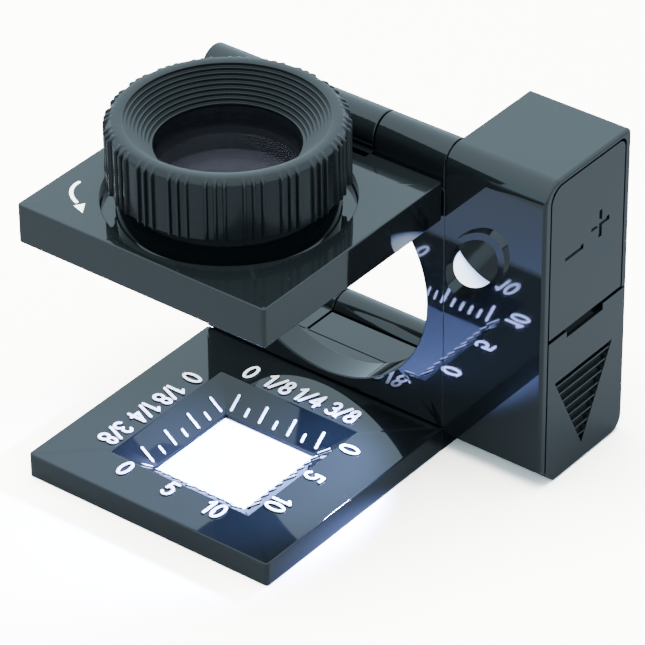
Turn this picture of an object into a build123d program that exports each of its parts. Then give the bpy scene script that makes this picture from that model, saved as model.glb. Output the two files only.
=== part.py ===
from build123d import *
from math import atan2, cos, degrees, hypot, sin, sqrt
import os

# Folding illuminated stand magnifier. Millimetres.
# Origin: the optical axis where it meets the surface under the specimen window.
# +X towards the battery case, +Y towards the hinges at the rear, +Z up along the optical axis.

# --- clearances ---
running = 0.05               # radial clearance of everything that turns or slides
side_gap = 0.12              # between a moving plate and the battery case
knuckle_gap = 0.15           # between knuckles, along their axis
past = 1.0                   # how far a cutting tool runs past what it cuts

# --- lenses and their cell: these set the width of everything above ---
lens_r = 6.95
lens_seat = 0.05             # radial room round a lens
upper_edge = 1.3
lower_edge = 1.0
lens_sag = 0.85
spacer_wall = 0.6
retainer_height = 0.8
retainer_slot = 0.8
retainer_slot_depth = 0.35
lip_reach = 0.63             # how far the cell's lip and the eye cone cover the lens
lip_bore_gap = 0.08          # the lip's hole is this much wider than the eye cone's
cell_lip = 0.7
cell_wall = 0.65
key_width = 1.6
key_height = 0.5
key_length = 1.5
key_root = 0.2               # how far a key is sunk in the cell
travel_down = 2.5
travel_up = 0.3
travel_spare = 0.4           # keyway past the key's highest place
end_gap = 0.1                # axial room between parts of the eyepiece
floor_gap = 0.07             # cell above the lens plate's underside when screwed right down

# --- focusing ring ---
collar_wall = 0.75
collar_length = 1.9
neck_wall = 0.9
neck_rise = 3.47             # neck above the lens plate
skirt_wall = 0.6
ring_floor_gap = 0.57        # ring above the recess when screwed right down
ring_roof = 1.65
rib_height = 0.28
rib_width = 0.26
rib_groups = 20
ribs_in_group = 3
rib_pitch_deg = 4.4
rib_first_deg = -3.0
rim_chamfer = 0.45
rim_flat = 0.97              # flat round the eye cone
rim_step = 0.1               # ribs end this much below the rim
cone_depth = 2.56
cone_floor = 0.19            # under the last step of the cone
cone_steps = 8
snap_wire = 0.4
snap_bite = 0.25             # snap ring into the collar
snap_reach = 0.3             # snap ring into the cell's groove
snap_room = 0.02
snap_gap = 1.2               # opening of the snap ring

# --- plates ---
recess_gap = 0.49            # round the ribs, in the lens plate's recess
recess_depth = 1.2
recess_front = 1.0           # lens plate in front of the recess
recess_back = 1.68           # from the recess to the upright's front face
hole_gap = 1.01              # round the ribs, in the upright's hole
hole_side = 1.9              # upright beside the hole
lens_plate_thick = 3.8
upright_thick = 2.9
upright_gap = 0.12           # upright's lower edge above the base plate
base_thick = 2.41
base_front = 12.13           # optical axis to the base plate's front edge
corner_r = 0.35              # plan corners of the two plates

# --- specimen window and its scales ---
window_half = 5.05
bevel_run = 2.6
window_lip = 0.38
inch_pitch = 25.4 / 16
inch_marks = 7
mm_pitch = 1.0
mm_marks = 11
mark_width = 0.33
mark_height = 0.1
mark_long = 1.76
mark_short = 0.95
mark_start = 0.39            # from the inner lip, up the bevel
mark_end_share = 0.45        # a mark's corner radius over its width

# --- hinges ---
pin_r = 0.8
lens_axis_back = 2.0         # behind the upright's front face
lens_knuckle_r = 1.9
lens_knuckle_gap = 0.1       # knuckle above the upright's top edge
fixed_knuckle_len = 7.6
folded_gap = 0.27            # between the upright and the lens plate folded behind it
web_gap = 0.12               # knuckle web above the upright
base_axis_drop = 0.61        # hinge axis below the base plate's top
base_knuckle_r = 1.75
swing_gap = 0.11             # lens plate's corner past the base hinge as it folds
tongue_width = 11.8
slit_width = 0.25
slit_start = 5.0             # behind the upright's front face
barrel_flat_share = 0.94     # flats on the barrel, from its axis, over its radius
ear_width = 2.4
ear_front = 0.8
ear_low = 0.4
ear_under = 0.1              # ear below the upright
ear_notch_gap = 0.2          # ear's notch behind the upright's front face
ear_root = 0.5               # how far the ear and the knuckle run into the upright
fold_gap = 0.35              # between the ear and the folded lens plate
pin_wall = 0.3               # ear left at the closed end of the base pin
pin_flat = 0.35              # height of the flat above the pin's axis, inside the case
pin_flat_start = 0.2
pin_inside = 3.2             # lens hinge pin inside the case
pin_socket = 1.0             # base pin in the case's wall
pin_socket_gap = 0.2

# --- battery case ---
case_head = 1.9              # case above the lens hinge's axis
case_behind = 0.15           # case behind the base knuckles
wall = 1.1
roof = 0.9
cover_thick = 1.24
rim = 0.75                   # case edge left round the cover
rim_top = 0.45
seam = 0.2
case_top_r = 2.0
case_edge_r = 0.5
case_foot_run = 2.3          # chamfer at the foot of the front, along Y
case_foot_rise = 2.1
case_heel_r = 1.6
case_side_r = 0.3            # round the side's outer edge
cover_front_r = 1.6
cover_rear_r = 0.8
cover_over_shelf = 0.6       # seam between door and cover, above the shelf
plug_wall = 0.7
sign_depth = 0.14            # plus and minus signs sunk in the cover
sign_half = 1.35
sign_stroke = 0.5
sign_spread = 1.9            # signs from the middle of the cover, along Y
sign_rise = 0.5              # plus sign above the middle, and minus sign below it
plug_rise = 0.5              # plug above the seam
rail_depth = 0.8             # inner rims of the cover and the door
rail_thick = 0.5
rail_wall_gap = 0.3
rail_cell_gap = 0.45
rail_foot = 0.4
rail_head = 0.2
weld = 0.1                   # how far an added block runs into what carries it

# --- the door's grip and notch ---
grip_depth = 0.4
grip_ridges = 9
grip_pitch = 1.0
grip_top = 10.5
grip_half = 4.3
ridge_first = 0.45           # first ridge below the grip's top, in pitches
ridge_sunk = 0.05
ridge_crest = 0.15
ridge_foot = 0.6
notch_width = 5.4
notch_height = 0.65
notch_depth = 0.6

# --- lamp ---
lamp_r = 2.28                # slanted socket
lamp_side = 0.88             # socket's edge from the case's left wall, on the front face
lamp_z = 20.73
lamp_dir = (-0.465, -0.543, -0.70)
socket_wall = 0.7
socket_deep = 6.4
socket_run = 9.0             # how far the bore's tool reaches outside
holder_wall = 0.35
holder_mouth = -0.4
led_r = 1.86
led_length = 6.75
led_tip = 1.75
flange_thick = 0.8
lead_r = 0.22
lead_spread = 0.9            # a lead beside the lamp's axis
lead_stub = 1.3
lead_bend = 0.5
lead_rise = 0.6
lead_drop = 3.0              # straight run down to the shelf
resistor_r = 0.75
resistor_half = 1.1
resistor_lead = 2.2
hood_wall = 0.5
hood_proud = 0.35
hood_back = -0.8

# --- cells and contacts ---
cell_r = 3.95
cell_gap = 0.08
cell_height = 3.6
cell_count = 3
cell_can_share = 0.9         # can's share of a cell's height; the rest is the cap
cell_cap_inset = 0.9
contact_thick = 0.25
spring_height = 0.9          # lower contact's leaf above the case's floor
post_height = 0.55           # upper contact's post
foot_half = 3.0
leaf_half = 2.0
plate_half = 2.5
post_half = 1.0
blade_width = 2.0
blade_front = 0.6
blade_gap = 0.7              # between the two blades
blade_clear = 0.15           # pin above the live blade
blade_side = 0.6
blade_foot = 1.25

# --- radii from the lens outwards ---
upper_r = lens_r + lens_seat + cell_wall
collar_in = upper_r + 2 * running
collar_out = collar_in + collar_wall
bore_r = collar_out + 2 * running
body_r = bore_r - 2 * running
neck_r = bore_r + neck_wall
skirt_r = neck_r + running
ring_r = skirt_r + skirt_wall
rib_r = ring_r + rib_height
recess_r = rib_r + recess_gap
hole_r = rib_r + hole_gap
aperture_r = lens_r - lip_reach
eye_r = ring_r - rim_chamfer - rim_flat

# --- plan: widths and depths ---
half = hole_r + hole_side
lens_plate_front = recess_r + recess_front
y_up = recess_r + recess_back
y_up_back = y_up + upright_thick
lens_y = y_up + lens_axis_back
fixed_knuckle_x = half - fixed_knuckle_len

# --- heights from the floor to the lens hinge, and the plate hung from it ---
upright_low = base_thick + upright_gap
ear_top = upright_low - ear_under
hole_z = ear_top + fold_gap + lens_plate_front
lens_axis_z = hole_z + lens_y
upright_top = lens_axis_z - lens_knuckle_r - lens_knuckle_gap
lens_plate_top = lens_axis_z - (upright_thick - lens_axis_back + folded_gap)
lens_plate_low = lens_plate_top - lens_plate_thick

# --- heights of the eyepiece ---
neck_top = lens_plate_top + neck_rise
ring_low = lens_plate_top - recess_depth + ring_floor_gap + travel_down
ring_ceiling = neck_top + end_gap + travel_down
ring_top = ring_ceiling + ring_roof
cell_top = ring_top - cone_depth - cone_floor - end_gap
collar_low = cell_top - collar_length
cell_low = lens_plate_low + travel_down + floor_gap
step_r = (eye_r - aperture_r) / cone_steps
step_z = cone_depth / cone_steps
snap_low = (collar_low + cell_top) / 2 - snap_wire / 2

# --- base hinge: just outside the circle that the lens plate's corner sweeps ---
base_axis_z = base_thick - base_axis_drop
swing_r = hypot(lens_y + lens_plate_front, lens_axis_z - lens_plate_low)
hinge_distance = swing_r + swing_gap + base_knuckle_r
base_y = lens_y + sqrt(hinge_distance ** 2 - (lens_axis_z - base_axis_z) ** 2)

# --- battery case: round the cells, the base hinge and the lamp ---
inner_x = half + wall
cell_x = inner_x + cell_gap + cell_r
cover_x = cell_x + cell_r + cell_gap
case_x = cover_x + cover_thick
rails_y = y_up + 2 * (wall + rail_wall_gap + rail_thick + rail_cell_gap + cell_r)
case_y = max(base_y + base_knuckle_r + case_behind, rails_y)
cell_y = (y_up + case_y) / 2
case_height = lens_axis_z + case_head
inner_low = wall
inner_top = case_height - roof
stack_low = inner_low + spring_height
stack_top = stack_low + cell_count * cell_height
shelf_level = stack_top + post_height + contact_thick + wall
door_height = shelf_level + cover_over_shelf
plug_x = cover_x - rail_depth
lamp_x = half + lamp_side + lamp_r
resistor_y = case_y - wall - resistor_r - lead_stub / 2
blade_z = lens_axis_z - pin_r - blade_clear


def block(x0, x1, y0, y1, z0, z1):
    """A box between two corners."""
    return Pos((x0 + x1) / 2, (y0 + y1) / 2, (z0 + z1) / 2) * Box(x1 - x0, y1 - y0, z1 - z0)


def rod_x(x0, x1, y, z, r):
    """A cylinder along X."""
    return Pos((x0 + x1) / 2, y, z) * Rot(0, 90, 0) * Cylinder(r, x1 - x0)


def disc(r, z0, z1):
    """A cylinder about the optical axis."""
    return Pos(0, 0, (z0 + z1) / 2) * Cylinder(r, z1 - z0)


def tube(r_out, r_in, z0, z1):
    """A ring about the optical axis."""
    return disc(r_out, z0, z1) - disc(r_in, z0 - past, z1 + past)


def edges_at(shape, axis, along, *tests):
    """Edges parallel to one axis whose centre passes every test."""
    found = shape.edges().filter_by(along)
    return [e for e in found if all(test(e.center()) for test in tests)]


def near(value, target):
    return abs(value - target) < 1e-3


def save(node, *solids):
    """One STEP file for each node."""
    shape = solids[0] if len(solids) == 1 else Compound(children=list(solids))
    export_step(shape, f"parts/{node}.step")


# ---------------------------------------------------------------- base plate

def window_cut():
    """The specimen window: a square with a lip, and a bevel that opens upwards."""
    low = Pos(0, 0, window_lip) * Rectangle(2 * window_half, 2 * window_half)
    wide = window_half + bevel_run
    high = Pos(0, 0, base_thick) * Rectangle(2 * wide, 2 * wide)
    bevel = loft([low, high])
    through = block(-window_half, window_half, -window_half, window_half, -past, base_thick + past)
    return bevel + through


def base_plate():
    """Graduated plate with two rear knuckles and a spring tongue between two slits."""
    right = half - side_gap
    plate = block(-half, right, -base_front, base_y, 0, base_thick)
    corners = edges_at(plate, None, Axis.Z, lambda c: c.Y < 0)
    plate = fillet(corners, corner_r)
    heel = edges_at(plate, None, Axis.X, lambda c: c.Y > 0, lambda c: near(c.Z, 0))
    plate = chamfer(heel, base_thick / 2)
    plate += rod_x(-half, right, base_y, base_axis_z, base_knuckle_r)
    rear = base_y + base_knuckle_r + past
    high = base_axis_z + base_knuckle_r + past
    tongue_end = base_y - base_knuckle_r - slit_width
    tongue = tongue_width / 2
    barrel_room = block(-tongue, tongue, tongue_end, rear, -past, high)
    plate -= barrel_room
    for side in (-1, 1):
        slit = block(-slit_width / 2, slit_width / 2, y_up + slit_start, tongue_end + past, -past, high)
        plate -= Pos(side * (tongue - slit_width / 2), 0, 0) * slit
    ear_room = block(-half - past, -half + ear_width + knuckle_gap, y_up + ear_notch_gap, rear, -past, high)
    plate -= ear_room
    plate -= rod_x(-half - past, half + past, base_y, base_axis_z, pin_r + running)
    return plate - window_cut()


def bevel_marks(count, pitch, turn, is_long):
    """Raised marks up one bevel of the window, centred on it and turned to its side."""
    slope = atan2(base_thick - window_lip, bevel_run)
    lift = mark_height / 2
    marks = []
    for i in range(count):
        length = mark_long if is_long(i) else mark_short
        along = mark_start + length / 2
        bar = Box(mark_width, length, mark_height)
        bar = fillet(bar.edges().filter_by(Axis.Z), mark_width * mark_end_share)
        place = Pos((i - (count - 1) / 2) * pitch,
                    window_half + along * cos(slope) - lift * sin(slope),
                    window_lip + along * sin(slope) + lift * cos(slope))
        marks.append(Rot(0, 0, turn) * place * Rot(degrees(slope), 0, 0) * bar)
    return marks


def scale_marks():
    """Sixteenths of an inch at the rear and left, millimetres at the front and right."""
    marks = bevel_marks(inch_marks, inch_pitch, 0, lambda i: i % 2 == 0)
    marks += bevel_marks(inch_marks, inch_pitch, 90, lambda i: i % 2 == 0)
    marks += bevel_marks(mm_marks, mm_pitch, 180, lambda i: i % 5 == 0)
    marks += bevel_marks(mm_marks, mm_pitch, 270, lambda i: i % 5 == 0)
    return marks


def base_hinge_pin():
    """Fixed pin from the left ear, through the base plate's knuckles, into the case."""
    return rod_x(-half + pin_wall, inner_x + pin_socket, base_y, base_axis_z, pin_r)


def hinge_barrel():
    """Fixed barrel between the knuckles, with a flat for the tongue in each folded position."""
    end = tongue_width / 2 - knuckle_gap
    barrel = rod_x(-end, end, base_y, base_axis_z, base_knuckle_r)
    flat = base_knuckle_r * barrel_flat_share
    out = base_knuckle_r + past
    barrel -= block(-half, half, base_y - out, base_y - flat, base_axis_z - out, base_axis_z + out)
    barrel -= block(-half, half, base_y - out, base_y + out, base_axis_z - out, base_axis_z - flat)
    return barrel - rod_x(-half, half, base_y, base_axis_z, pin_r)


# ---------------------------------------------------------------- upright

def upright_plate():
    """Plate with the round hole, the fixed knuckle and the ear that holds the base pin."""
    plate = block(-half, half, y_up, y_up_back, upright_low, upright_top)
    hole = Pos(0, (y_up + y_up_back) / 2, hole_z) * Rot(90, 0, 0) * Cylinder(hole_r, upright_thick + past)
    plate -= hole
    knuckle_end = half - knuckle_gap
    knuckle = rod_x(fixed_knuckle_x, knuckle_end, lens_y, lens_axis_z, lens_knuckle_r)
    knuckle += block(fixed_knuckle_x, knuckle_end, lens_y - lens_knuckle_r, y_up_back,
                     upright_top - ear_root, lens_axis_z)
    plate += knuckle
    plate -= rod_x(fixed_knuckle_x - past, half + past, lens_y, lens_axis_z, pin_r + running)
    ear_x = -half + ear_width
    ear = block(-half, ear_x, y_up + ear_front, base_y, ear_low, ear_top)
    ear += block(-half, ear_x, y_up + ear_front, y_up_back, ear_low, upright_low + ear_root)
    ear += rod_x(-half, ear_x, base_y, base_axis_z, base_knuckle_r)
    ear -= rod_x(-half + pin_wall, half, base_y, base_axis_z, pin_r)
    return plate + ear


# ---------------------------------------------------------------- lens plate

def keyway(width, reach, z0, z1):
    """Two slots or keys at the front and rear of the cell."""
    return block(-width / 2, width / 2, -reach, reach, z0, z1)


def lens_plate():
    """Plate with the ring's recess, the neck that the ring screws on, and the long knuckle."""
    right = half - side_gap
    back = y_up - knuckle_gap
    plate = block(-half, right, -lens_plate_front, back, lens_plate_low, lens_plate_top)
    plate = fillet(edges_at(plate, None, Axis.Z, lambda c: c.Y < 0), corner_r)
    plate -= disc(recess_r, lens_plate_top - recess_depth, lens_plate_top + past)
    plate += disc(neck_r, lens_plate_low, neck_top)
    plate -= disc(bore_r, lens_plate_low - past, neck_top + past)
    key_reach = bore_r + key_height
    key_top = cell_low + key_length + travel_up + travel_spare
    plate -= keyway(key_width + 2 * running, key_reach, lens_plate_low - past, key_top)
    end = fixed_knuckle_x - knuckle_gap
    plate += block(-half, end, back - past, lens_y, upright_top + web_gap, lens_plate_top)
    plate += rod_x(-half, end, lens_y, lens_axis_z, lens_knuckle_r)
    return plate - rod_x(-half - past, half, lens_y, lens_axis_z, pin_r)


def lens_hinge_pin():
    """Turns with the lens plate. Its flat end works the switch inside the case."""
    end = inner_x + pin_inside
    pin = rod_x(-half, end, lens_y, lens_axis_z, pin_r)
    flat = block(inner_x + pin_flat_start, end + past, lens_y - pin_r - past, lens_y + pin_r + past,
                 lens_axis_z + pin_flat, lens_axis_z + pin_r + past)
    return pin - flat


# ---------------------------------------------------------------- eyepiece

def ring_profile():
    """Half section of the focusing ring, with the stepped eye cone."""
    points = [
        (skirt_r, ring_low),
        (ring_r, ring_low),
        (ring_r, ring_top - rim_chamfer),
        (ring_r - rim_chamfer, ring_top),
        (eye_r, ring_top),
    ]
    for i in range(cone_steps):
        points.append((eye_r - i * step_r, ring_top - (i + 1) * step_z))
        points.append((eye_r - (i + 1) * step_r, ring_top - (i + 1) * step_z))
    points += [
        (aperture_r, cell_top + end_gap),
        (collar_in, cell_top + end_gap),
        (collar_in, collar_low),
        (collar_out, collar_low),
        (collar_out, ring_ceiling),
        (skirt_r, ring_ceiling),
    ]
    return make_face(Polyline([(r, 0, z) for r, z in points], close=True))


def ring_ribs():
    """Upright ribs round the grip, in groups, with chamfered tops."""
    top = ring_top - rim_step
    tall = top - ring_low
    rib = Pos(ring_r, 0, ring_low + tall / 2) * Box(2 * rib_height, rib_width, tall)
    ribs = []
    for group in range(rib_groups):
        for k in range(ribs_in_group):
            angle = rib_first_deg + group * 360 / rib_groups
            angle += (k - (ribs_in_group - 1) / 2) * rib_pitch_deg
            ribs.append(Rot(0, 0, angle) * rib)
    points = [
        (ring_r - 2 * rib_height, ring_low),
        (rib_r, ring_low),
        (rib_r, top - rim_chamfer),
        (ring_r - rib_height, top),
        (ring_r - 2 * rib_height, top),
    ]
    band = make_face(Polyline([(r, 0, z) for r, z in points], close=True))
    return ribs, revolve(band, Axis.Z, 360)


def focus_ring():
    """Grip ring: its skirt screws on the neck and its collar carries the lens cell."""
    body = revolve(ring_profile(), Axis.Z, 360)
    ribs, envelope = ring_ribs()
    body = body + [rib & envelope for rib in ribs]
    groove = tube(collar_in + snap_bite + snap_room, collar_in - past,
                  snap_low - snap_room, snap_low + snap_wire + snap_room)
    return body - groove


def snap_ring():
    """Open wire ring in the collar's groove. It holds the cell and lets the ring turn."""
    ring = tube(collar_in + snap_bite, collar_in - snap_reach, snap_low, snap_low + snap_wire)
    opening = block(collar_in - past, collar_in + past, -snap_gap / 2, snap_gap / 2,
                    snap_low - past, snap_low + past)
    return ring - opening


def lens_cell():
    """Keyed barrel that holds the two lenses and slides without turning."""
    cell = disc(body_r, cell_low, collar_low - end_gap) + disc(upper_r, cell_low, cell_top)
    cell -= disc(lens_r + lens_seat, cell_low - past, cell_top - cell_lip)
    cell -= disc(aperture_r + lip_bore_gap, cell_low, cell_top + past)
    cell -= tube(upper_r + past, upper_r - snap_reach, snap_low - end_gap, snap_low + snap_wire + end_gap)
    keys = keyway(key_width, bore_r + key_height - 2 * running, cell_low + end_gap, cell_low + key_length)
    return cell + (keys - disc(body_r - key_root, cell_low - past, cell_top))


def lens_cap(z, sag, up):
    """The domed part of one face, as wide as the clear aperture."""
    reach = aperture_r - snap_room
    r = (reach * reach + sag * sag) / (2 * sag)
    centre = z + sag - r if up else z - sag + r
    low, high = (z, z + sag + past) if up else (z - sag - past, z)
    return Pos(0, 0, centre) * Sphere(r) & disc(reach, low, high)


def biconvex(z0, edge, up_sag, down_sag):
    """A lens: a flat-edged disc with a spherical dome on each face."""
    return disc(lens_r, z0, z0 + edge) + lens_cap(z0 + edge, up_sag, True) + lens_cap(z0, down_sag, False)


def lens_stack():
    """Upper lens against the lip, spacer, lower lens, and the ring that clamps them."""
    upper_low = cell_top - cell_lip - upper_edge
    lower_low = cell_low + retainer_height
    upper = biconvex(upper_low, upper_edge, lens_sag, lens_sag / 2)
    lower = biconvex(lower_low, lower_edge, lens_sag, lens_sag / 2)
    spacer = tube(lens_r, lens_r - spacer_wall, lower_low + lower_edge, upper_low)
    retainer = tube(lens_r + lens_seat, lens_r - spacer_wall, cell_low, lower_low)
    retainer -= block(-lens_r - past, lens_r + past, -retainer_slot / 2, retainer_slot / 2,
                      cell_low - past, cell_low + retainer_slot_depth)
    return upper, lower, spacer, retainer


# ---------------------------------------------------------------- battery case

lamp_tilt = degrees(atan2(sqrt(lamp_dir[0] ** 2 + lamp_dir[1] ** 2), lamp_dir[2]))
lamp_turn = degrees(atan2(lamp_dir[1], lamp_dir[0]))


def lamp_rod(r, t0, t1):
    """A cylinder along the lamp's axis. t runs outwards from the socket's centre on the front face."""
    place = Pos(lamp_x, y_up, lamp_z) * Rot(0, 0, lamp_turn) * Rot(0, lamp_tilt, 0)
    return place * Pos(0, 0, (t0 + t1) / 2) * Cylinder(r, t1 - t0)


def side_outline():
    """Outline of the case seen from the side, with its rounded and chamfered corners."""
    foot = (y_up + case_foot_run, 0), (y_up, case_foot_rise)
    outline = make_face(Polyline([*foot, (y_up, case_height), (case_y, case_height), (case_y, 0)], close=True))
    corners = {(y_up, case_height): case_top_r, (case_y, case_height): case_edge_r, (case_y, 0): case_heel_r}
    for (y, z), r in corners.items():
        corner = [v for v in outline.vertices() if near(v.X, y) and near(v.Y, z)]
        outline = fillet(corner, r)
    return outline


def case_outline():
    """The case with its cover and door on, as one block rounded along the side's outer edge."""
    section = Plane(origin=(half, 0, 0), x_dir=(0, 1, 0), z_dir=(1, 0, 0)) * side_outline()
    body = extrude(section, case_x - half)
    loop = [e for e in body.edges() if near(e.bounding_box().min.X, case_x)]
    return fillet(loop, case_side_r)


def cover_seat(shrink):
    """Outline of the opening for the side cover, or of the cover itself when shrunk."""
    y0 = y_up + rim + shrink
    y1 = case_y - rim - shrink
    z0 = door_height + shrink
    z1 = case_height - rim_top - shrink
    seat = block(cover_x, case_x + past, y0, y1, z0, z1)
    front = edges_at(seat, None, Axis.X, lambda c: near(c.Y, y0), lambda c: near(c.Z, z1))
    seat = fillet(front, cover_front_r)
    rear = edges_at(seat, None, Axis.X, lambda c: near(c.Y, y1), lambda c: near(c.Z, z1))
    return fillet(rear, cover_rear_r)


def door_seat(shrink):
    """The side below the cover, round to the rear and down to the floor."""
    return block(cover_x, case_x + past, y_up + rim + shrink, case_y + past, -past, door_height - shrink)


def battery_case():
    """Shell with the slanted lamp socket, a shelf over the cells, and the side left open."""
    shell = case_outline()
    front, rear = y_up + wall, case_y - wall
    shell -= block(inner_x, case_x + past, front, rear, inner_low, inner_top)
    shell += block(inner_x - weld, plug_x - weld, front - weld, rear + weld, shelf_level - wall, shelf_level)
    shell -= cover_seat(0)
    shell -= door_seat(0)
    shell -= block(plug_x - weld, cover_x + past, front, rear, -past, inner_low + weld)
    envelope = block(half, plug_x - weld, y_up, rear + wall - 2 * weld, inner_low / 2, inner_top + 2 * weld)
    shell += lamp_rod(lamp_r + socket_wall, -socket_deep, socket_run) & envelope
    hood = lamp_rod(lamp_r + hood_wall, -socket_deep, hood_back)
    shell += hood & block(half, cover_x, y_up - hood_proud, y_up + wall / 2, shelf_level, inner_top)
    shell -= lamp_rod(lamp_r, -socket_deep - past, socket_run)
    shell -= rod_x(half - past, inner_x + past, lens_y, lens_axis_z, pin_r + running)
    shell -= rod_x(half - past, inner_x + pin_socket + pin_socket_gap, base_y, base_axis_z, pin_r)
    return shell


def battery_signs():
    """A plus sign to the rear and a minus sign to the front, in the middle of the cover."""
    middle = (door_height + case_height) / 2
    x0, x1 = case_x - sign_depth, case_x + past
    rear, front = cell_y + sign_spread, cell_y - sign_spread
    thin = sign_stroke / 2
    bar = block(x0, x1, rear - sign_half, rear + sign_half,
                middle + sign_rise - thin, middle + sign_rise + thin)
    post = block(x0, x1, rear - thin, rear + thin,
                 middle + sign_rise - sign_half, middle + sign_rise + sign_half)
    minus = block(x0, x1, front - sign_half, front + sign_half,
                  middle - sign_rise - thin, middle - sign_rise + thin)
    return bar + post, minus


def side_cover():
    """Fixed cover over the lamp and the switch, with an inner rim that plugs into the case."""
    cover = cover_seat(seam) & case_outline()
    fit = wall + 2 * running
    y0 = y_up + fit
    y1 = case_y - fit
    z0 = door_height + plug_rise
    z1 = inner_top - 2 * running
    plug = block(plug_x, cover_x + weld, y0, y1, z0, z1)
    plug -= block(plug_x - past, cover_x, y0 + plug_wall, y1 - plug_wall, z0 + plug_wall, z1 - plug_wall)
    plus, minus = battery_signs()
    return cover + plug - plus - minus


def grip_triangle(x0, x1, shrink):
    """Prism of the thumb grip's inverted triangle."""
    low = grip_top - grip_half * 2
    face = Plane(origin=(x0, cell_y, 0), x_dir=(0, 1, 0), z_dir=(1, 0, 0)) * make_face(
        Polyline((-grip_half + shrink, grip_top - shrink), (grip_half - shrink, grip_top - shrink),
                 (0, low + shrink), close=True))
    return extrude(face, x1 - x0)


def battery_door():
    """Slides down off the case. Its grip is a triangle of ridges, and a notch takes a fingernail."""
    door = door_seat(seam) & case_outline()
    door -= grip_triangle(case_x - grip_depth, case_x + past, 0)
    floor, crest = case_x - grip_depth, case_x - ridge_sunk
    for i in range(grip_ridges):
        z = grip_top - grip_pitch * (i + ridge_first)
        section = Plane.XZ * make_face(Polyline(
            (floor, z), (crest, z - ridge_sunk), (crest, z - ridge_sunk - ridge_crest), (floor, z - ridge_foot),
            close=True))
        ridge = Pos(0, case_y + past, 0) * extrude(section, case_y - y_up + 2 * past)
        door += ridge & grip_triangle(floor - weld, case_x, 0)
    door -= block(case_x - notch_depth, case_x + past, cell_y - notch_width / 2, cell_y + notch_width / 2,
                  door_height - seam - notch_height, door_height + past)
    for side in (-1, 1):
        y = cell_y + side * (cell_r + rail_cell_gap + rail_thick / 2)
        door += block(plug_x, cover_x + weld, y - rail_thick / 2, y + rail_thick / 2,
                      inner_low + rail_foot, shelf_level - wall - rail_head)
    return door


# ---------------------------------------------------------------- lamp, cells and wiring

def lamp_holder():
    """Sleeve in the slanted socket, open towards the specimen."""
    sleeve = lamp_rod(lamp_r, -socket_deep, holder_mouth)
    return sleeve - lamp_rod(lamp_r - holder_wall, -socket_deep - past, holder_mouth + past)


def lamp_led():
    """Lamp with a domed tip that looks out of the socket, and a flange."""
    back = led_tip - led_length
    dome_centre = led_tip - led_r
    body = lamp_rod(led_r, back, dome_centre)
    place = Pos(lamp_x, y_up, lamp_z) * Rot(0, 0, lamp_turn) * Rot(0, lamp_tilt, 0)
    body += place * Pos(0, 0, dome_centre) * Sphere(led_r)
    return body + lamp_rod(lamp_r - holder_wall, back - flange_thick, back)


def lamp_point(side, t):
    """A point beside the lamp's axis, at the foot of one lead."""
    place = Pos(lamp_x, y_up, lamp_z) * Rot(0, 0, lamp_turn) * Rot(0, lamp_tilt, 0)
    return (place * Pos(0, side * lead_spread, t)).position


def wire(points, r, bend):
    """A round wire along straight runs joined by arcs."""
    path = FilletPolyline(*points, radius=bend)
    section = Plane(origin=path @ 0, z_dir=path % 0) * Circle(r)
    return sweep(section, path=path)


def lamp_leads():
    """Two wires from the lamp: one down to the shelf, one to the resistor."""
    back = led_tip - led_length - flange_thick
    leads = []
    beside = cell_x - resistor_lead - 2 * lead_r
    onto = cell_x + (resistor_half + resistor_lead) / 2
    for side, x_end, z_end in ((-1, beside, 0), (1, onto, resistor_r + lead_r)):
        start = lamp_point(side, back)
        out = lamp_point(side, back - lead_stub)
        rear = (out.X, resistor_y, out.Z + lead_rise)
        over = (x_end, resistor_y, shelf_level + lead_drop)
        end = (x_end, resistor_y, shelf_level + z_end)
        leads.append(wire([start, out, rear, over, end], lead_r, lead_bend))
    return leads


def resistor():
    """Series resistor lying on the shelf, with its two short leads."""
    z = shelf_level + resistor_r
    body = rod_x(cell_x - resistor_half, cell_x + resistor_half, resistor_y, z, resistor_r)
    return body + rod_x(cell_x - resistor_lead, cell_x + resistor_lead, resistor_y, z, lead_r)


def button_cell(i):
    """Button cell: a can with a smaller top cap."""
    z = stack_low + i * cell_height
    tall = cell_height * cell_can_share
    can = Pos(cell_x, cell_y, z + tall / 2) * Cylinder(cell_r, tall)
    cap = Pos(cell_x, cell_y, z + (tall + cell_height) / 2)
    cap *= Cylinder(cell_r - cell_cap_inset, cell_height - tall)
    return can + cap


def lower_contact():
    """Spring contact under the cells: a foot on the floor and a raised leaf."""
    x0 = cell_x - leaf_half
    y0, y1 = cell_y - post_half, cell_y + post_half
    foot = block(cell_x - foot_half, cell_x + foot_half, y0, y1, inner_low, inner_low + contact_thick)
    leaf = block(x0, cell_x + leaf_half, y0, y1, stack_low - contact_thick, stack_low)
    riser = block(x0, x0 + contact_thick, y0, y1, inner_low, stack_low)
    return foot + leaf + riser


def upper_contact():
    """Flat contact under the shelf, with a post that presses on the upper cell."""
    z = shelf_level - wall - contact_thick
    plate = block(cell_x - plate_half, cell_x + plate_half, cell_y - leaf_half, cell_y + leaf_half,
                  z, z + contact_thick)
    post = block(cell_x - post_half, cell_x + post_half, cell_y - post_half, cell_y + post_half,
                 stack_top, z + weld)
    return plate + post


def switch_blade(gap, foot_low, foot_high):
    """Leaf below the hinge pin's flat end, on a foot at its rear end."""
    z = blade_z - gap
    x0 = inner_x + blade_front
    end = case_y - wall - rail_wall_gap
    leaf = block(x0, x0 + blade_width, lens_y - blade_side, end, z - contact_thick, z)
    foot = block(x0, x0 + blade_width, end - contact_thick, end, z - foot_low, z + foot_high)
    return leaf + foot


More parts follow.
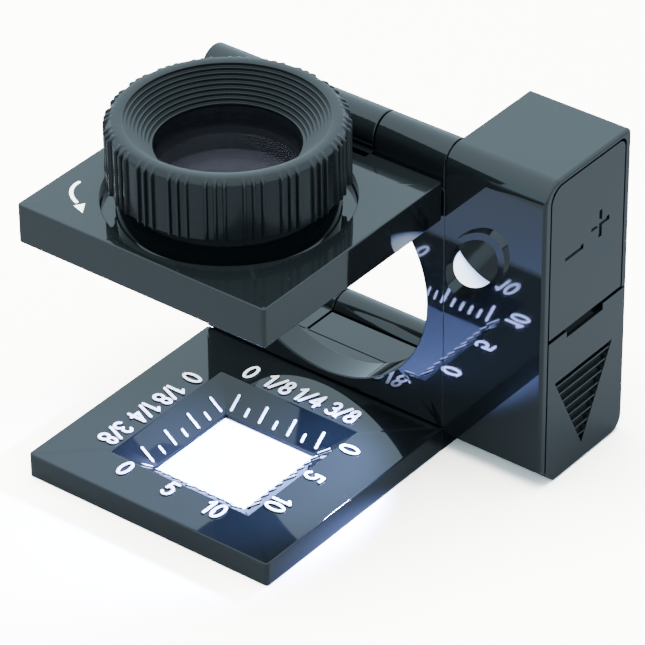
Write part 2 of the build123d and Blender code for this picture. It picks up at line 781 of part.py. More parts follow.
def main():
    os.makedirs("parts", exist_ok=True)
    save("base_plate", base_plate())
    save("scale_marks", *scale_marks())
    save("base_hinge_pin", base_hinge_pin())
    save("hinge_barrel", hinge_barrel())
    save("upright_plate", upright_plate())
    save("lens_plate", lens_plate())
    save("lens_hinge_pin", lens_hinge_pin())
    save("focus_ring", focus_ring())
    save("snap_ring", snap_ring())
    save("lens_cell", lens_cell())
    upper, lower, spacer, retainer = lens_stack()
    save("upper_lens", upper)
    save("lower_lens", lower)
    save("lens_spacer", spacer)
    save("lens_retainer", retainer)
    save("battery_case", battery_case())
    save("side_cover", side_cover())
    save("battery_door", battery_door())
    save("lamp_holder", lamp_holder())
    save("lamp_led", lamp_led())
    save("lamp_leads", *lamp_leads())
    save("resistor", resistor())
    for i, name in enumerate(("lower", "middle", "upper")):
        save(f"button_cell_{name}", button_cell(i))
    save("lower_contact", lower_contact())
    save("upper_contact", upper_contact())
    save("switch_blade_live", switch_blade(0, contact_thick, inner_top - blade_z))
    save("switch_blade_fixed", switch_blade(blade_gap, blade_foot, 0))


main()
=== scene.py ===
import math

import bmesh
import bpy
import numpy as np
from mathutils import Matrix, Vector


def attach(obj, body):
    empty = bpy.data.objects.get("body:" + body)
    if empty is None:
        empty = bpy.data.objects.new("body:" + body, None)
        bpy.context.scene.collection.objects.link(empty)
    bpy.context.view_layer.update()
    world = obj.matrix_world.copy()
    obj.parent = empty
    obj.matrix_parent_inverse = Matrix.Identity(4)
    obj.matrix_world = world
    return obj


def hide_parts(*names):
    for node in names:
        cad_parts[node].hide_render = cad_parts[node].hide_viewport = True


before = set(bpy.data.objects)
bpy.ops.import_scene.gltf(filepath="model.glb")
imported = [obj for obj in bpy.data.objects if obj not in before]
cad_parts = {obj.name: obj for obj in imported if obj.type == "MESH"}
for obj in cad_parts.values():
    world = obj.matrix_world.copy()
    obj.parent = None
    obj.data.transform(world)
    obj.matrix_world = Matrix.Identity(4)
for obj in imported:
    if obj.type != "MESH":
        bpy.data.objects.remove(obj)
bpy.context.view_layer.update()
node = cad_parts


# Camera: a long lens, right of the object and above it, level with the horizon but for
# a trace of roll.
def camera_from(position, azimuth, elevation, roll, lens):
    """Looks along the azimuth, measured from +Y towards -X, and down by the elevation."""
    forward = Vector((-math.sin(azimuth) * math.cos(elevation),
                      math.cos(azimuth) * math.cos(elevation), -math.sin(elevation)))
    right = forward.cross(Vector((0, 0, 1))).normalized()
    up = right.cross(forward)
    turn = Matrix.Rotation(roll, 3, forward)
    right, up = turn @ right, turn @ up
    data = bpy.data.cameras.new("camera")
    data.sensor_width = 36
    data.lens = lens
    data.clip_start = 0.01
    camera = bpy.data.objects.new("camera", data)
    camera.matrix_world = Matrix((
        (right.x, up.x, -forward.x, position[0]),
        (right.y, up.y, -forward.y, position[1]),
        (right.z, up.z, -forward.z, position[2]),
        (0, 0, 0, 1)))
    bpy.context.scene.collection.objects.link(camera)
    bpy.context.scene.camera = camera


camera_from(position=(0.20157, -0.24481, 0.23027), azimuth=math.radians(38.06),
            elevation=math.radians(34.18), roll=math.radians(0.53), lens=248.96)


# Studio: a white tent with a cool cast, and one wide soft light overhead that only the
# matt surfaces take up. Shader values are built as sums and products of sockets.
class Socket:
    """A shader value. Sums, differences and products of it add Math nodes."""

    def __init__(self, tree, output):
        self.tree, self.output = tree, output

    def math(self, operation, *others):
        return self.tree.add("ShaderNodeMath", {"operation": operation}, [self, *others])

    def __add__(self, other):
        return self.math("ADD", other)

    __radd__ = __add__

    def __mul__(self, other):
        return self.math("MULTIPLY", other)

    __rmul__ = __mul__

    def __sub__(self, other):
        return self.math("SUBTRACT", other)

    def __rsub__(self, other):
        return self * -1.0 + other


class Tree:
    """A node tree that is filled by one method."""

    def __init__(self, tree):
        self.tree = tree
        tree.nodes.clear()

    def add(self, kind, settings=None, inputs=(), output=0):
        """Adds a node: first its settings, then the values or links of its sockets."""
        made = self.tree.nodes.new(kind)
        for key, value in (settings or {}).items():
            if key == "stops":
                ramp = made.color_ramp.elements
                while len(ramp) < len(value):
                    ramp.new(0.5)
                for element, (at, colour) in zip(ramp, value):
                    element.position, element.color = at, (*colour, 1)
            else:
                setattr(made, key, value)
        pairs = inputs.items() if isinstance(inputs, dict) else enumerate(inputs)
        for key, value in pairs:
            if isinstance(value, Socket):
                self.tree.links.new(value.output, made.inputs[key])
            elif value is not None:
                made.inputs[key].default_value = value
        return Socket(self, made.outputs[output] if made.outputs else None)


world = bpy.data.worlds.new("tent")
bpy.context.scene.world = world
world.use_nodes = True
tree = Tree(world.node_tree)
sky = tree.add("ShaderNodeTexCoord", None, (), "Generated")
height = tree.add("ShaderNodeSeparateXYZ", None, [sky], "Z")
shade = tree.add("ShaderNodeValToRGB", {"stops": [(0.0, (0.60, 0.84, 1.0)), (1.0, (0.72, 0.92, 1.0))]}, [height])
glow = tree.add("ShaderNodeBackground", None, {"Color": shade, "Strength": 2.1})
tree.add("ShaderNodeOutputWorld", None, {"Surface": glow})


def soft_light(name, place, size, watts, colour):
    """A disc light that shines straight down and isn't mirrored in the polished plastic."""
    data = bpy.data.lights.new(name, "AREA")
    data.shape = "DISK"
    data.size = size
    data.energy = watts
    data.color = colour
    lamp = bpy.data.objects.new(name, data)
    lamp.location = place
    lamp.visible_glossy = False
    bpy.context.scene.collection.objects.link(lamp)


soft_light("overhead", (-0.05, 0.0, 0.45), 0.5, 14.0, (1, 0.97, 0.93))


# Table: white paper, overexposed where the camera looks straight at it, plain pale grey
# where the plastic mirrors it.
def material(name, tree_of):
    """A material whose surface is the shader that tree_of adds to the tree."""
    made = bpy.data.materials.new(name)
    made.use_nodes = True
    filled = Tree(made.node_tree)
    filled.add("ShaderNodeOutputMaterial", None, {"Surface": tree_of(filled)})
    return made


def paper(tree):
    """Matt white paper, in one tone to the eye and another to light and mirrors."""
    seen = tree.add("ShaderNodeLightPath", None, (), "Is Camera Ray")
    tone = tree.add("ShaderNodeMix", {"data_type": "RGBA"},
                    {0: seen, 6: (0.125, 0.15, 0.17, 1), 7: (2.0, 1.86, 1.75, 1)}, 2)
    return tree.add("ShaderNodeBsdfDiffuse", None, {"Color": tone})


table_half = 1.5
table_mesh = bpy.data.meshes.new("table")
table_mesh.from_pydata([(x * table_half, y * table_half, 0) for x, y in ((-1, -1), (1, -1), (1, 1), (-1, 1))],
                       [], [(0, 1, 2, 3)])
table_mesh.materials.append(material("table_paper", paper))
table = bpy.data.objects.new("table", table_mesh)
bpy.context.scene.collection.objects.link(table)


# Base plate: black styrene from a polished mould, with a bevelled square window. Its rear
# runs under the upright to two knuckles on a steel pin, with a sprung tongue between them.
def polished(tree):
    """Black gloss plastic: faint flow waves from the mould, and a film of handling marks."""
    place = tree.add("ShaderNodeTexCoord", None, (), "Object")
    flow = tree.add("ShaderNodeTexNoise", None, {"Vector": place, "Scale": 70.0, "Detail": 1.0})
    film = tree.add("ShaderNodeTexNoise", None, {"Vector": place, "Scale": 420.0, "Detail": 5.0})
    specks = tree.add("ShaderNodeTexVoronoi", None, {"Vector": place, "Scale": 700.0}, "Distance")
    dust = (specks * -1.0 + 0.075).math("MAXIMUM", 0.0) * 14.0
    bump = tree.add("ShaderNodeBump", None, {"Strength": 0.03, "Distance": 0.0004, "Height": flow})
    tone = tree.add("ShaderNodeMix", {"data_type": "RGBA"},
                    {0: dust * 0.25, 6: (0.003, 0.0042, 0.0048, 1), 7: (0.05, 0.055, 0.06, 1)}, 2)
    return tree.add("ShaderNodeBsdfPrincipled", None, {
        "Base Color": tone, "Roughness": film * 0.05 + 0.012, "IOR": 1.53, "Normal": bump,
        "Coat Weight": film * 0.03 + 0.02, "Coat Roughness": 0.33, "Coat IOR": 1.5})


polished_black = material("polished_black_plastic", polished)


def on_ray(theta, box, centre):
    """Where rays at the angles theta meet a box's outline: the direction from the centre,
    times the shorter of the ways to the box's sides."""
    way = np.stack([np.cos(theta), np.sin(theta)], -1)
    x0, x1, y0, y1 = box
    side = np.where(way > 0, [x1, y1], [x0, y0]) - np.asarray(centre)
    far = np.where(np.abs(way) > 1e-9, side / np.where(np.abs(way) > 1e-9, way, 1), 1e9)
    return np.asarray(centre) + way * far.min(1)[:, None]


def rounded(points, box, r, inset):
    """Rounds the corners of an outline and shrinks it: each point goes in to the box shrunk
    by r, then out by r less the inset, the way it came."""
    x0, x1, y0, y1 = box
    core = np.clip(points, [x0 + r, y0 + r], [x1 - r, y1 - r])
    out = points - core
    return core + out / np.linalg.norm(out, axis=1)[:, None] * (r - inset)


def fan(boxes, centre, r, count=160):
    """Angles round a centre: evenly spaced, and through the boxes' corners and roundings."""
    theta = [np.linspace(-math.pi, math.pi, count, endpoint=False)]
    for x0, x1, y0, y1 in boxes:
        for step in np.linspace(0, r, 5):
            for x, sx in ((x0, 1), (x1, -1)):
                for y, sy in ((y0, 1), (y1, -1)):
                    for dx, dy in ((step * sx, 0), (0, step * sy)):
                        theta.append([math.atan2(y + dy - centre[1], x + dx - centre[0])])
    return np.unique(np.round(np.concatenate(theta), 6))


quarter = np.radians(np.linspace(0, 90, 5))


def plate_edge(theta, box, centre, r, e, low, high):
    """Rows up a plate's outside: its outline, set in by e and drawn out to nothing along a
    quarter circle at the lower edge, and the reverse at the upper edge."""
    outline = on_ray(theta, box, centre)
    rows = [(rounded(outline, box, r, e * (1 - math.sin(a))), low + e * (1 - math.cos(a))) for a in quarter]
    return rows + [(rounded(outline, box, r, e * (1 - math.cos(a))), high - e * (1 - math.sin(a))) for a in quarter]


def circle_row(theta, r, z, centre=(0, 0)):
    """A circle of radius r round the centre at height z: cosine and sine of each angle."""
    return (np.asarray(centre) + r * np.stack([np.cos(theta), np.sin(theta)], -1), z)


def skin(rows, ring=True, upright=False):
    """Quads from row to row of closed loops. A ring joins the last row to the first; else each
    end is closed by one face. upright turns rows of x, y at a height into x, z at a depth."""
    points = np.array([np.column_stack([xy, np.full(len(xy), h)]) for xy, h in rows])
    if upright:
        points = points[:, :, [0, 2, 1]]
    n, m = points.shape[:2]
    i = np.arange(n if ring else n - 1)[:, None] * m
    j = np.arange(m)[None, :]
    k = (j + 1) % m
    up = (i + m) % (n * m)
    faces = np.stack([i + j, i + k, up + k, up + j], -1).reshape(-1, 4).tolist()
    if not ring:
        faces += [list(range(m))[::-1], list(range((n - 1) * m, n * m))]
    return points.reshape(-1, 3), faces


def piece(name, shells, finish, body, stands_for=(), crease=35):
    """One object from closed shells in millimetres, with doubles merged, faces outwards and
    the flat faces' normals kept flat."""
    corners, faces, start = [], [], 0
    for points, quads in shells:
        corners.append(points)
        faces += [[start + v for v in f] for f in quads]
        start += len(points)
    mesh = bpy.data.meshes.new(name)
    mesh.from_pydata((np.concatenate(corners) * 0.001).tolist(), [], faces)
    work = bmesh.new()
    work.from_mesh(mesh)
    bmesh.ops.remove_doubles(work, verts=work.verts, dist=2e-7)
    bmesh.ops.dissolve_degenerate(work, edges=work.edges, dist=1e-7)
    bmesh.ops.recalc_face_normals(work, faces=work.faces)
    work.to_mesh(mesh)
    work.free()
    mesh.shade_smooth()
    mesh.set_sharp_from_angle(angle=math.radians(crease))
    mesh.materials.append(finish)
    made = bpy.data.objects.new(name, mesh)
    bpy.context.scene.collection.objects.link(made)
    weigh = made.modifiers.new("flat faces lead", "WEIGHTED_NORMAL")
    weigh.keep_sharp = True
    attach(made, body)
    if stands_for:
        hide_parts(*stands_for)
    return made


def block(x0, x1, y0, y1, z0, z1, e=0.06):
    """A box with rounded edges: a rounded outline, drawn in at both ends."""
    box = (x0, x1, y0, y1)
    centre = ((x0 + x1) / 2, (y0 + y1) / 2)
    return skin(plate_edge(fan([box], centre, e + 0.02, 8), box, centre, e + 0.02, e, z0, z1), ring=False)


def rod(x0, x1, y, z, r, e=0.08, count=64):
    """A rod along X: circles at each x, drawn in along a quarter circle at both ends."""
    turn = np.linspace(0, 2 * math.pi, count, endpoint=False)
    ends = [(x0 + e * (1 - math.sin(a)), r - e * (1 - math.cos(a))) for a in quarter[::-1]]
    ends += [(x1 - e * (1 - math.sin(a)), r - e * (1 - math.cos(a))) for a in quarter]
    rows = [(np.stack([y + s * np.cos(turn), z + s * np.sin(turn)], -1), x) for x, s in ends]
    points, faces = skin(rows, ring=False)
    return points[:, [2, 0, 1]], faces


half, play = 13.34, 0.12
base_outline = (-half, half - play, -12.13, 12.8)
window, lip, base_top = 7.65, 5.05, 2.41
theta = fan([base_outline, (-lip, lip, -lip, lip)], (0, 0), 0.35)
square = on_ray(theta, (-1, 1, -1, 1), (0, 0))
rows = plate_edge(theta, base_outline, (0, 0), 0.35, 0.13, 0, base_top)
rows += [(square * (window + 0.1), base_top), (square * (window + 0.03), base_top - 0.01),
         (square * (window - 0.06), base_top - 0.07), (square * (lip + 0.04), 0.41), (square * lip, 0.36),
         (square * lip, 0.04), (square * (lip + 0.04), 0)]
knuckle_y, knuckle_z, knuckle_r = 23.2944, 1.8, 1.75
knuckle_root, tongue_root = 22.6, 21.3
left_knuckle, right_knuckle, tongue = (-10.79, -5.9), (5.9, half - play), (-5.65, 5.65)
shells = [skin(rows), block(left_knuckle[0], half - play, 12.6, 17.8, 0, base_top, 0.02)]
shells += [block(*span, 17.6, end, 0, base_top, 0.05)
           for span, end in ((left_knuckle, knuckle_root), (tongue, tongue_root), (right_knuckle, knuckle_root))]
shells += [rod(*span, knuckle_y, knuckle_z, knuckle_r) for span in (left_knuckle, right_knuckle)]
piece("base_plate_shell", shells, polished_black, "base", ["base_plate"])


# Scale: white foil on raised marks, sixteenths of an inch on two sides of the window and
# millimetres on the other two, and raised numerals on the flat beside them.
def foil(tree):
    """Hot-stamped white foil: slightly uneven cover, satin, and a faint painted glow on top."""
    place = tree.add("ShaderNodeTexCoord", None, (), "Object")
    patch = tree.add("ShaderNodeTexNoise", None, {"Vector": place, "Scale": 2600.0, "Detail": 3.0})
    tone = tree.add("ShaderNodeMix", {"data_type": "RGBA"},
                    {0: patch, 6: (0.93, 0.94, 0.96, 1), 7: (0.82, 0.85, 0.9, 1)}, 2)
    bump = tree.add("ShaderNodeBump", None, {"Strength": 0.1, "Distance": 0.00005, "Height": patch})
    return tree.add("ShaderNodeBsdfPrincipled", None, {
        "Base Color": tone, "Roughness": patch * 0.2 + 0.35, "Normal": bump,
        # Painted glow: a faint cool emission lifts the white foil above the light that falls on it.
        "Emission Color": (0.9, 0.95, 1.0, 1), "Emission Strength": 0.35})


# White foil with a faint painted glow, for the scale marks, the numerals and the arrow.
white_foil_painted_glow = material("white_foil_painted_glow", foil)


def arc(x, y, a, b, start, end, count=18):
    """Part of an ellipse: the centre plus its half axes times the cosine and sine."""
    t = np.radians(np.linspace(start, end, count))
    return np.stack([x + a * np.cos(t), y + b * np.sin(t)], -1)


def line(*corners):
    """Straight runs, with points along each so that a stroke's ends can narrow."""
    corners = np.array(corners, float)
    runs = [p + (q - p) * np.linspace(0, 1, 9)[:-1, None] for p, q in zip(corners, corners[1:])]
    return np.concatenate([*runs, corners[-1:]])


glyphs = {
    "0": [arc(0, 0, 0.4, 0.82, 0, 360, 40)],
    "1": [line((0.06, -0.82), (0.06, 0.82)), line((0.06, 0.8), (-0.28, 0.52))],
    "/": [line((-0.36, -0.82), (0.3, 0.82))],
    "8": [arc(0, 0.42, 0.31, 0.4, 0, 360, 30), arc(0, -0.4, 0.38, 0.42, 0, 360, 30)],
    "4": [line((0.18, -0.82), (0.18, 0.82)), line((0.18, 0.8), (-0.42, -0.34)),
          line((-0.42, -0.36), (0.42, -0.36))],
    "3": [arc(-0.03, 0.42, 0.34, 0.4, 155, -85), arc(-0.03, -0.4, 0.4, 0.42, 85, -155)],
    "5": [line((0.34, 0.8), (-0.26, 0.8)), line((-0.26, 0.8), (-0.32, 0.02)),
          arc(-0.02, -0.28, 0.4, 0.52, 140, -145)],
}


def ribbon(path, width, low, rise):
    """A raised stroke with rounded ends: across the path, a low dome; along it, the width
    follows a half circle at each end."""
    step = np.gradient(path, axis=0)
    step /= np.linalg.norm(step, axis=1)[:, None]
    side = np.stack([-step[:, 1], step[:, 0]], -1)
    closed = np.linalg.norm(path[0] - path[-1]) < 1e-6
    if closed:
        side[0] = side[-1] = (side[0] + side[-1]) / np.linalg.norm(side[0] + side[-1])
    spread = np.full(len(path), width / 2)
    if not closed:
        cap = np.radians([30, 60, 88])
        past_end, cap_spread = width / 2 * np.sin(cap)[:, None], width / 2 * np.cos(cap)
        path = np.concatenate([path[:1] - step[:1] * past_end[::-1], path, path[-1:] + step[-1:] * past_end])
        side = np.concatenate([side[:1]] * 3 + [side] + [side[-1:]] * 3)
        spread = np.concatenate([cap_spread[::-1], spread, cap_spread])
    across = np.array([-1, -0.92, -0.6, 0, 0.6, 0.92, 1, 0])
    lift = np.array([0, 0.6, 0.95, 1, 0.95, 0.6, 0, 0])
    points = np.concatenate([
        path[:, None, :] + side[:, None, :] * (spread[:, None] * across)[:, :, None],
        np.broadcast_to(low + rise * lift, (len(path), len(lift)))[:, :, None]], -1)
    n, m = points.shape[:2]
    i, j = np.arange(n - 1)[:, None] * m, np.arange(m)[None, :]
    k = (j + 1) % m
    faces = np.stack([i + j, i + k, i + m + k, i + m + j], -1).reshape(-1, 4).tolist()
    if not closed:
        faces += [list(range(m)), list(range((n - 1) * m, n * m))[::-1]]
    return points.reshape(-1, 3), faces


def numeral(text, at, turn, advance=1.17):
    """Paths of a short text's strokes, centred on a point and turned about it."""
    c, s = math.cos(math.radians(turn)), math.sin(math.radians(turn))
    made = []
    widths = [0.86 if ch in "1/" else advance for ch in text]
    along = -sum(widths) / 2
    for ch, wide in zip(text, widths):
        for stroke in glyphs[ch]:
            p = stroke * [1.06, 1.08] + [along + wide / 2, 0]
            p = np.stack([p[:, 0] * c - p[:, 1] * s, p[:, 0] * s + p[:, 1] * c], -1) + at
            made.append(p)
        along += wide
    return made


paths = []
inch_labels = ("0", "1/8", "1/4", "3/8")
for text, along in zip(inch_labels, (-5.4, -2.15, 1.25, 4.95)):
    paths += numeral(text, (along, 9.15), 0)
for text, along in zip(inch_labels, (5.3, 2.0, -1.4, -5.35)):
    paths += numeral(text, (-9.1, along), -90)
for text, along in zip(("0", "5", "10"), (-5.06, -0.05, 4.9)):
    paths += numeral(text, (along, -8.85), 0)
for text, along in zip(("0", "5", "10"), (5.1, 0.05, -5.0)):
    paths += numeral(text, (8.77, along), -90)
plinth, foil_low = 0.13, 0.11
piece("numeral_plinths", [ribbon(p, 0.38, base_top - 0.01, plinth + 0.01) for p in paths],
      polished_black, "base")
piece("scale_numerals", [ribbon(p, 0.31, base_top + foil_low, 0.06) for p in paths],
      white_foil_painted_glow, "base")

bevel_low, stroke, plinth_stroke = 0.38, 0.29, 0.36
slope = math.atan2(base_top - bevel_low, window - lip)


def up_bevel(shell, turn):
    """Lays a flat shell on a bevel: its y runs up the slope and its z stands out from it,
    from the window's lip. Then it is turned about the optical axis to its side."""
    points, faces = shell
    x, v, w = points.T
    y = lip + v * math.cos(slope) - w * math.sin(slope)
    z = bevel_low + v * math.sin(slope) + w * math.cos(slope)
    c, s = math.cos(math.radians(turn)), math.sin(math.radians(turn))
    return np.stack([x * c - y * s, x * s + y * c, z], -1), faces


sixteenth, millimetre = (25.4 / 16, 7, 2), (1.0, 11, 5)
marks, mark_feet = [], []
for turn, (pitch, count, every) in ((0, sixteenth), (90, sixteenth), (180, millimetre), (270, millimetre)):
    for i in range(count):
        x = (i - (count - 1) / 2) * pitch
        long = 1.76 if i % every == 0 else 0.95
        run = line((x, 0.39 + 0.16), (x, 0.39 + long - 0.16))
        mark_feet.append(up_bevel(ribbon(run, plinth_stroke, -0.01, 0.1), turn))
        marks.append(up_bevel(ribbon(run, stroke, 0.075, 0.055), turn))
piece("mark_plinths", mark_feet, polished_black, "base")
piece("foil_marks", marks, white_foil_painted_glow, "base", ["scale_marks"])


def set_finish(name, finish):
    """Gives a node of the frame its finish."""
    for each in node[name].material_slots:
        each.material = finish


# Rear hinge: a fixed barrel between the knuckles, on a drawn steel pin.
def drawn(tree):
    """Drawn steel wire: fine lines along the rod."""
    place = tree.add("ShaderNodeTexCoord", None, (), "Object")
    stretched = tree.add("ShaderNodeMapping", None, {"Vector": place, "Scale": (60.0, 4000.0, 4000.0)})
    lines = tree.add("ShaderNodeTexNoise", None, {"Vector": stretched, "Scale": 1.0, "Detail": 2.0})
    return tree.add("ShaderNodeBsdfPrincipled", None, {
        "Base Color": (0.56, 0.56, 0.58, 1), "Metallic": 1.0, "Roughness": lines * 0.2 + 0.2})


steel = material("drawn_steel", drawn)
set_finish("hinge_barrel", polished_black)
set_finish("base_hinge_pin", steel)
set_finish("lens_hinge_pin", steel)


# Upright: a thin plate with the round hole that the eyepiece folds into, the fixed knuckle
# at its top right, and an ear at its lower left that holds the rear pin.
face, back = 12.6, 15.5
frame_box = (-half, half, 2.53, 27.3)
hole_z, hole_r, hole_edge = 14.7, 11.44, 0.12
axis_y, axis_z = 14.6, 29.3
centre = (0, hole_z)
theta = fan([frame_box], centre, 0.3, 200)
rows = plate_edge(theta, frame_box, centre, 0.3, 0.1, face, back)
rows += [circle_row(theta, hole_r + hole_edge * (1 - math.sin(a)), back - hole_edge * (1 - math.cos(a)), centre)
         for a in quarter]
rows += [circle_row(theta, hole_r + hole_edge * (1 - math.cos(a)), face + hole_edge * (1 - math.sin(a)), centre)
         for a in quarter]
shells = [skin(rows, upright=True)]
turn = np.radians(np.linspace(180, 0, 20))
d_shape = np.concatenate([
    [[12.72, 26.8]], np.stack([axis_y + 1.88 * np.cos(turn), axis_z + 1.9 * np.sin(turn)], -1),
    [[back, 27.6], [back, 26.8]]])
inner = d_shape + (np.array([14.4, 28.6]) - d_shape) * 0.045
points, faces = skin([(inner, 5.74), (d_shape, 5.82), (d_shape, 13.11), (inner, 13.19)], ring=False)
shells.append((points[:, [2, 0, 1]], faces))
ear = (-half, -10.94)
shells.append(block(*ear, 13.4, 23.3, 0.4, 2.43, 0.1))
shells.append(block(*ear, 13.4, back, 0.4, 3.0, 0.1))
shells.append(rod(*ear, knuckle_y, knuckle_z, knuckle_r))
piece("upright_shell", shells, polished_black, "frame", ["upright_plate"])


# Lens plate: a thick polished plate with a round recess, the neck that the focusing ring
# screws on, and the long knuckle. A printed arrow shows which way to turn.
lens_box = (-half, half - play, -11.92, 12.45)
low, high = 24.33, 28.13
theta = fan([lens_box], (0, 0), 0.35, 200)
rows = plate_edge(theta, lens_box, (0, 0), 0.35, 0.14, low, high)
rows += [circle_row(theta, r, z) for r, z in (
    (11.0, high), (10.95, high - 0.02), (10.92, high - 0.08), (10.92, high - 1.1), (10.82, high - 1.2),
    (9.6, high - 1.2), (9.5, high - 1.1), (9.5, 31.5), (9.42, 31.6),
    (8.68, 31.6), (8.6, 31.5), (8.6, low + 0.1), (8.7, low))]
long_knuckle = (-half, 5.59)
shells = [skin(rows), block(*long_knuckle, 11.6, axis_y, 27.42, high, 0.05),
          rod(*long_knuckle, axis_y, axis_z, 1.9, 0.12)]
piece("lens_plate_shell", shells, polished_black, "lens_plate", ["lens_plate"])

shaft = arc(-8.1, -6.4, 3.25, 2.5, 175, 245, 16)
head = np.array([(-7.97, -9.66), (-9.3, -9.25), (-8.75, -8.4)])
head_low = np.column_stack([head, np.full(3, high - 0.01)])
head_top = np.column_stack([head, np.full(3, high + 0.012)])
head_shell = (np.concatenate([head_low, head_top]),
              [[0, 1, 2], [5, 4, 3], [0, 3, 4, 1], [1, 4, 5, 2], [2, 5, 3, 0]])
piece("turn_arrow", [ribbon(shaft, 0.36, high - 0.01, 0.022), head_shell], white_foil_painted_glow,
      "lens_plate")


# Focusing ring: satin black, ribs in groups of three round the grip, and a stepped cone
# that keeps stray light from the eye.
def satin(tree):
    """Satin plastic: fine spark grain, and a little polish worn on."""
    place = tree.add("ShaderNodeTexCoord", None, (), "Object")
    grain = tree.add("ShaderNodeTexNoise", None, {"Vector": place, "Scale": 5000.0, "Detail": 2.0})
    worn = tree.add("ShaderNodeTexNoise", None, {"Vector": place, "Scale": 260.0, "Detail": 3.0})
    bump = tree.add("ShaderNodeBump", None, {"Strength": 0.12, "Distance": 0.00004, "Height": grain})
    tone = tree.add("ShaderNodeMix", {"data_type": "RGBA"},
                    {0: worn, 6: (0.003, 0.004, 0.0045, 1), 7: (0.006, 0.0075, 0.0085, 1)}, 2)
    return tree.add("ShaderNodeBsdfPrincipled", None, {
        "Base Color": tone, "Roughness": worn * 0.12 + 0.15, "Normal": bump, "IOR": 1.4})


satin_black = material("satin_black_plastic", satin)

groups, first = 20, -3.0
across = np.array([-1.05, -0.8, -0.5, -0.2, 0.2, 0.5, 0.8, 1.05])
swell = np.array([0, 0.55, 0.95, 1, 1, 0.95, 0.55, 0])
offsets = np.concatenate([c + across for c in (-4.4, 0, 4.4)] + [[7.2, 9.0, 10.8]])
heights = np.concatenate([swell] * 3 + [[0, 0, 0]])
turn = np.radians(first + np.add.outer(np.arange(groups) * 360 / groups, offsets).ravel())
rib = np.tile(heights, groups)
rib_height = 0.28
outside = [(9.6, 30.0, 0), (10.06, 30.0, 0), (10.15, 30.08, 0.9), (10.15, 30.2, 1), (10.15, 35.1, 1),
           (10.14, 35.3, 1), (10.1, 35.42, 0.95), (10.02, 35.53, 0.9), (9.9, 35.65, 0.7), (9.78, 35.76, 0.35),
           (9.7, 35.82, 0.1), (9.6, 35.85, 0), (8.8, 35.85, 0), (8.74, 35.82, 0)]
cone = []
for i in range(8):
    r, z = 8.73 - 0.301 * i, 35.85 - 0.32 * i
    cone += [(r, z - 0.04, 0), (r + 0.03, z - 0.3, 0), (r, z - 0.325, 0),
             (r - 0.25, z - 0.325, 0), (r - 0.29, z - 0.335, 0)]
inside = [(6.32, 33.27, 0), (6.32, 33.12, 0), (6.4, 33.1, 0), (7.75, 33.1, 0), (7.75, 31.1, 0),
          (8.5, 31.1, 0), (8.5, 34.2, 0), (9.55, 34.2, 0), (9.55, 30.05, 0)]
rows = []
for r, z, w in outside + cone + inside:
    ribbed = r + rib_height * w * rib
    rows.append((np.stack([ribbed * np.cos(turn), ribbed * np.sin(turn)], -1), z))
piece("focusing_ring", [skin(rows)], satin_black, "focus_ring", ["focus_ring"], 30)
set_finish("snap_ring", steel)
for name in ("lens_cell", "lens_spacer", "lens_retainer", "lamp_holder"):
    set_finish(name, satin_black)


# Lenses: two crown glass discs with domed faces, coated, clamped in the cell.
def coated_glass(tree, clear, colour, ior):
    """Coated crown glass over the black barrel: mostly clear, with a faint violet bloom and noise
    that clouds it a little."""
    place = tree.add("ShaderNodeTexCoord", None, (), "Object")
    cloud = tree.add("ShaderNodeTexNoise", None, {"Vector": place, "Scale": 240.0, "Detail": 2.0})
    return tree.add("ShaderNodeBsdfPrincipled", None, {
        "Base Color": colour, "Roughness": cloud * 0.03 + 0.03, "IOR": ior, "Alpha": cloud * 0.04 + clear,
        "Coat Weight": 0.12, "Coat Tint": (0.75, 0.7, 1.0, 1)})


upper_glass = material("upper_lens_glass", lambda tree: coated_glass(
    tree, 0.04, (0.01, 0.01, 0.014, 1), 1.4))
lower_glass = material("lower_lens_glass", lambda tree: coated_glass(
    tree, 0.7, (0.016, 0.017, 0.022, 1), 1.3))


def lens(low, edge, up, down):
    """Turned about the axis: a dome z = sag * (1 - (r / R) squared) on each face, out to the
    clear radius R, then a flat seat and a ground edge."""
    clear, rim, ground = 6.3, 6.95, 0.05
    around = np.linspace(0, 2 * math.pi, 96, endpoint=False)
    out = np.linspace(0.02, clear, 22)
    dome = 1 - (out / clear) ** 2
    profile = [(r, low - down * d) for r, d in zip(out, dome)] + [(rim - ground, low), (rim, low + ground)]
    profile += [(rim, low + edge - ground), (rim - ground, low + edge)]
    profile += [(r, low + edge + up * d) for r, d in zip(out[::-1], dome[::-1])]
    return skin([circle_row(around, r, z) for r, z in profile], ring=False)


piece("upper_lens_glass", [lens(31.0, 1.3, 0.84, 0.42)], upper_glass,
      "lens_cell", ["upper_lens"], 60)
piece("lower_lens_glass", [lens(27.7, 1.0, 0.1, 0.42)], lower_glass,
      "lens_cell", ["lower_lens"], 60)


# Battery case with its side cover and sliding door: the same polished black styrene.
for name in ("battery_case", "side_cover", "battery_door"):
    set_finish(name, polished_black)


# Lamp: a clear epoxy LED in a black sleeve, aimed down at the window. It is on.
aim = Vector((-0.465, -0.543, -0.70)).normalized()
mouth = Vector((16.5, 12.6, 20.73)) * 0.001


def epoxy(tree):
    """Clear epoxy, lit from inside: blue beside the die, and white towards the domed tip."""
    place = tree.add("ShaderNodeTexCoord", None, (), "Object")
    along = tree.add("ShaderNodeVectorMath", {"operation": "DOT_PRODUCT"}, [place, tuple(aim)], "Value")
    swirl = tree.add("ShaderNodeTexNoise", None, {"Vector": place, "Scale": 900.0, "Detail": 2.0})
    depth = (along - aim.dot(mouth)) * 380.0 + 0.42 + swirl * 0.25
    colour = tree.add("ShaderNodeValToRGB", {"stops": [
        (0.0, (0.015, 0.03, 0.08)), (0.4, (0.12, 0.2, 0.5)),
        (0.75, (0.6, 0.72, 1.0)), (1.0, (1, 1, 1))]}, [depth])
    return tree.add("ShaderNodeBsdfPrincipled", None, {
        "Base Color": (0.5, 0.55, 0.65, 1), "Roughness": swirl * 0.1 + 0.04,
        "Emission Color": colour, "Emission Strength": 3.5})


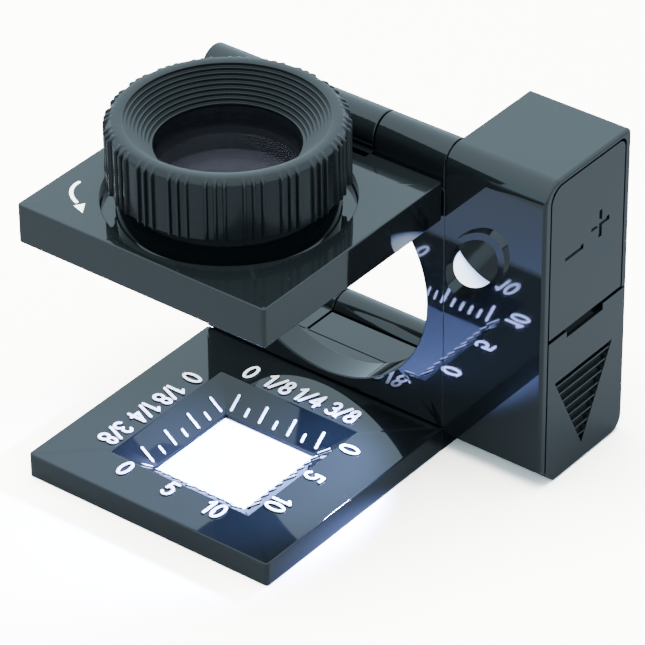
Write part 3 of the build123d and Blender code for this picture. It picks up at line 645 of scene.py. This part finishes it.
set_finish("lamp_led", material("lit_epoxy", epoxy))
beam = bpy.data.lights.new("lamp_beam", "SPOT")
beam.energy = 0.9
beam.color = (0.34, 0.42, 1.0)
beam.spot_size = math.radians(62)
beam.spot_blend = 0.7
beam.shadow_soft_size = 0.0015
lamp = bpy.data.objects.new("lamp_beam", beam)
lamp.location = mouth + aim * 0.0035
lamp.rotation_euler = aim.to_track_quat("-Z", "Y").to_euler()
bpy.context.scene.collection.objects.link(lamp)


# Inside the case: three nickel-plated button cells, brass contacts, a resistor with a
# lacquered body, and red insulated leads soldered to the lamp.
def nickel(tree):
    """Nickel-plated can with fine turning marks."""
    place = tree.add("ShaderNodeTexCoord", None, (), "Object")
    marks = tree.add("ShaderNodeTexNoise", None, {"Vector": place, "Scale": 1500.0, "Detail": 3.0})
    return tree.add("ShaderNodeBsdfPrincipled", None, {
        "Base Color": (0.66, 0.65, 0.62, 1), "Metallic": 1.0, "Roughness": marks * 0.2 + 0.15})


def brass(tree):
    """Rolled brass strip, dulled a little by handling."""
    place = tree.add("ShaderNodeTexCoord", None, (), "Object")
    stain = tree.add("ShaderNodeTexNoise", None, {"Vector": place, "Scale": 500.0, "Detail": 4.0})
    tone = tree.add("ShaderNodeMix", {"data_type": "RGBA"},
                    {0: stain, 6: (0.78, 0.6, 0.3, 1), 7: (0.55, 0.42, 0.22, 1)}, 2)
    return tree.add("ShaderNodeBsdfPrincipled", None, {
        "Base Color": tone, "Metallic": 1.0, "Roughness": stain * 0.3 + 0.2})


def insulation(tree, clean, dusty, gloss):
    """Lacquer or soft insulation: patches of handling dust over a glossy skin."""
    place = tree.add("ShaderNodeTexCoord", None, (), "Object")
    dust = tree.add("ShaderNodeTexNoise", None, {"Vector": place, "Scale": 1200.0, "Detail": 3.0})
    tone = tree.add("ShaderNodeMix", {"data_type": "RGBA"}, {0: dust, 6: clean, 7: dusty}, 2)
    return tree.add("ShaderNodeBsdfPrincipled", None, {"Base Color": tone, "Roughness": dust * 0.2 + gloss})


tan, dark_tan = (0.66, 0.52, 0.35, 1), (0.5, 0.38, 0.25, 1)
red, dark_red = (0.4, 0.02, 0.02, 1), (0.26, 0.015, 0.015, 1)
set_finish("resistor", material("resistor_lacquer", lambda tree: insulation(tree, tan, dark_tan, 0.2)))
set_finish("lamp_leads", material("red_insulation", lambda tree: insulation(tree, red, dark_red, 0.35)))
nickel_can, brass_strip = material("nickel_can", nickel), material("brass_strip", brass)
for name in ("button_cell_lower", "button_cell_middle", "button_cell_upper"):
    set_finish(name, nickel_can)
for name in ("lower_contact", "upper_contact", "switch_blade_live", "switch_blade_fixed"):
    set_finish(name, brass_strip)
